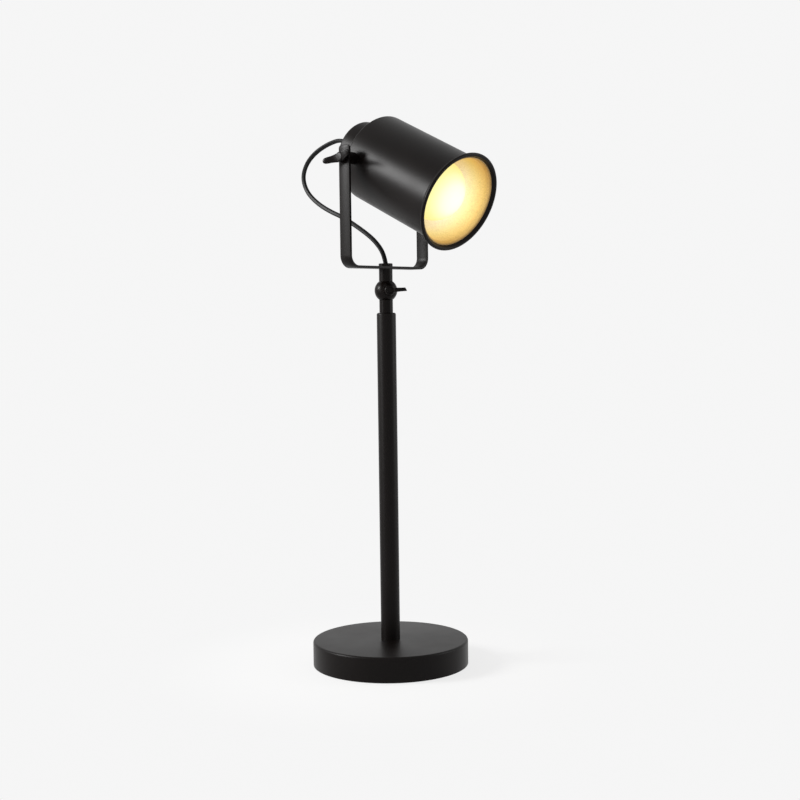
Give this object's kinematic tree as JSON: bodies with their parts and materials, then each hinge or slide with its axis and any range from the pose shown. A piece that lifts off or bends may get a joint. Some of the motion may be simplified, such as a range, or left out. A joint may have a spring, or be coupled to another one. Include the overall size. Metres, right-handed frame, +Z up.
{
  "type": "table searchlight lamp",
  "caption": "Table searchlight: a flared can with a bulb tilts in a strip yoke on wing screws, over a lever-locked ball knuckle, a plain pole and a round weighted base.",
  "frame": {"origin": "middle of the base's underside, on the table", "axes": "+Z up along the pole; -Y the way the can points at rest; +Y towards the grommet in the base's rear wall"},
  "size_m": [0.155, 0.2366, 0.5418],
  "materials": {
    "black_paint": "satin black powder coat on steel",
    "gold_lacquer": "satin gold lacquer",
    "plated_steel": "zinc plated",
    "raw_iron": "raw casting",
    "rubber": "matt",
    "lead_sheath": "smooth black sheath",
    "black_plastic": "moulded black plastic",
    "white_ceramic": "glazed",
    "brass": "bare",
    "bulb_glass": "frosted, lit",
    "bulb_cap": "bare"
  },
  "bodies": {
    "stand": {"base_pad": "rubber", "base_weight": "raw_iron", "base_shell": "black_paint", "base_washer": "plated_steel", "base_nut": "plated_steel", "base_nipple": "plated_steel", "cord_grommet": "rubber", "pole_tube": "black_paint", "pole_foot_plug": "plated_steel", "pole_top_plug": "plated_steel", "stand_lead": "lead_sheath", "knuckle_nipple": "plated_steel", "knuckle_lower": "black_paint", "knuckle_washer": "plated_steel", "knuckle_nut": "plated_steel"},
    "knuckle_lever": {"knuckle_screw": "black_paint"},
    "neck": {"knuckle_upper": "black_paint", "neck_nipple": "plated_steel", "yoke_washer": "black_paint", "yoke_nut": "black_paint", "neck_lead": "lead_sheath"},
    "yoke": {"yoke_bracket": "black_paint", "left_arm_washer": "black_paint", "right_arm_washer": "black_paint", "upper_lead": "lead_sheath"},
    "head": {"can_shell": "black_paint", "gold_liner": "gold_lacquer", "rear_cap": "black_paint", "cap_screws": "plated_steel", "cap_nuts": "plated_steel", "cord_bush": "black_plastic", "holder_nipple": "plated_steel", "holder_locknut": "plated_steel", "holder_cap": "black_plastic", "holder_sleeve": "black_plastic", "screw_shell": "brass", "contact_block": "white_ceramic", "centre_contact": "brass", "holder_lead": "lead_sheath", "bulb_glass": "bulb_glass", "bulb_cap": "bulb_cap", "bulb_contact": "brass", "left_spacer": "black_paint", "right_spacer": "black_paint", "left_side_nut": "plated_steel", "right_side_nut": "plated_steel"},
    "left_screw": {"left_wing_screw": "black_paint"},
    "right_screw": {"right_wing_screw": "black_paint"}
  },
  "joints": [
    {"name": "knuckle_tilt", "type": "hinge", "parent": "stand", "child": "neck", "pos_m": [0, 0, 0.373], "axis": [-0.515, -0.8572, 0], "range_deg": [-90, 90]},
    {"name": "knuckle_lever_turn", "type": "hinge", "parent": "stand", "child": "knuckle_lever", "pos_m": [0, 0, 0.373], "axis": [-0.515, -0.8572, 0], "range_deg": [0, 180]},
    {"name": "yoke_pan", "type": "hinge", "parent": "neck", "child": "yoke", "pos_m": [0, 0, 0.3942], "axis": [0, 0, 1], "range_deg": [-170, 170]},
    {"name": "head_tilt", "type": "hinge", "parent": "yoke", "child": "head", "pos_m": [0, 0, 0.499], "axis": [1, 0, 0], "range_deg": [-85, 25], "deforming": ["upper_lead"]},
    {"name": "left_screw_turn", "type": "hinge", "parent": "head", "child": "left_screw", "pos_m": [-0.0556, 0, 0.499], "axis": [-1, 0, 0], "range_deg": [0, 180]},
    {"name": "right_screw_turn", "type": "hinge", "parent": "head", "child": "right_screw", "pos_m": [0.0556, 0, 0.499], "axis": [1, 0, 0], "range_deg": [0, 180]}
  ]
}
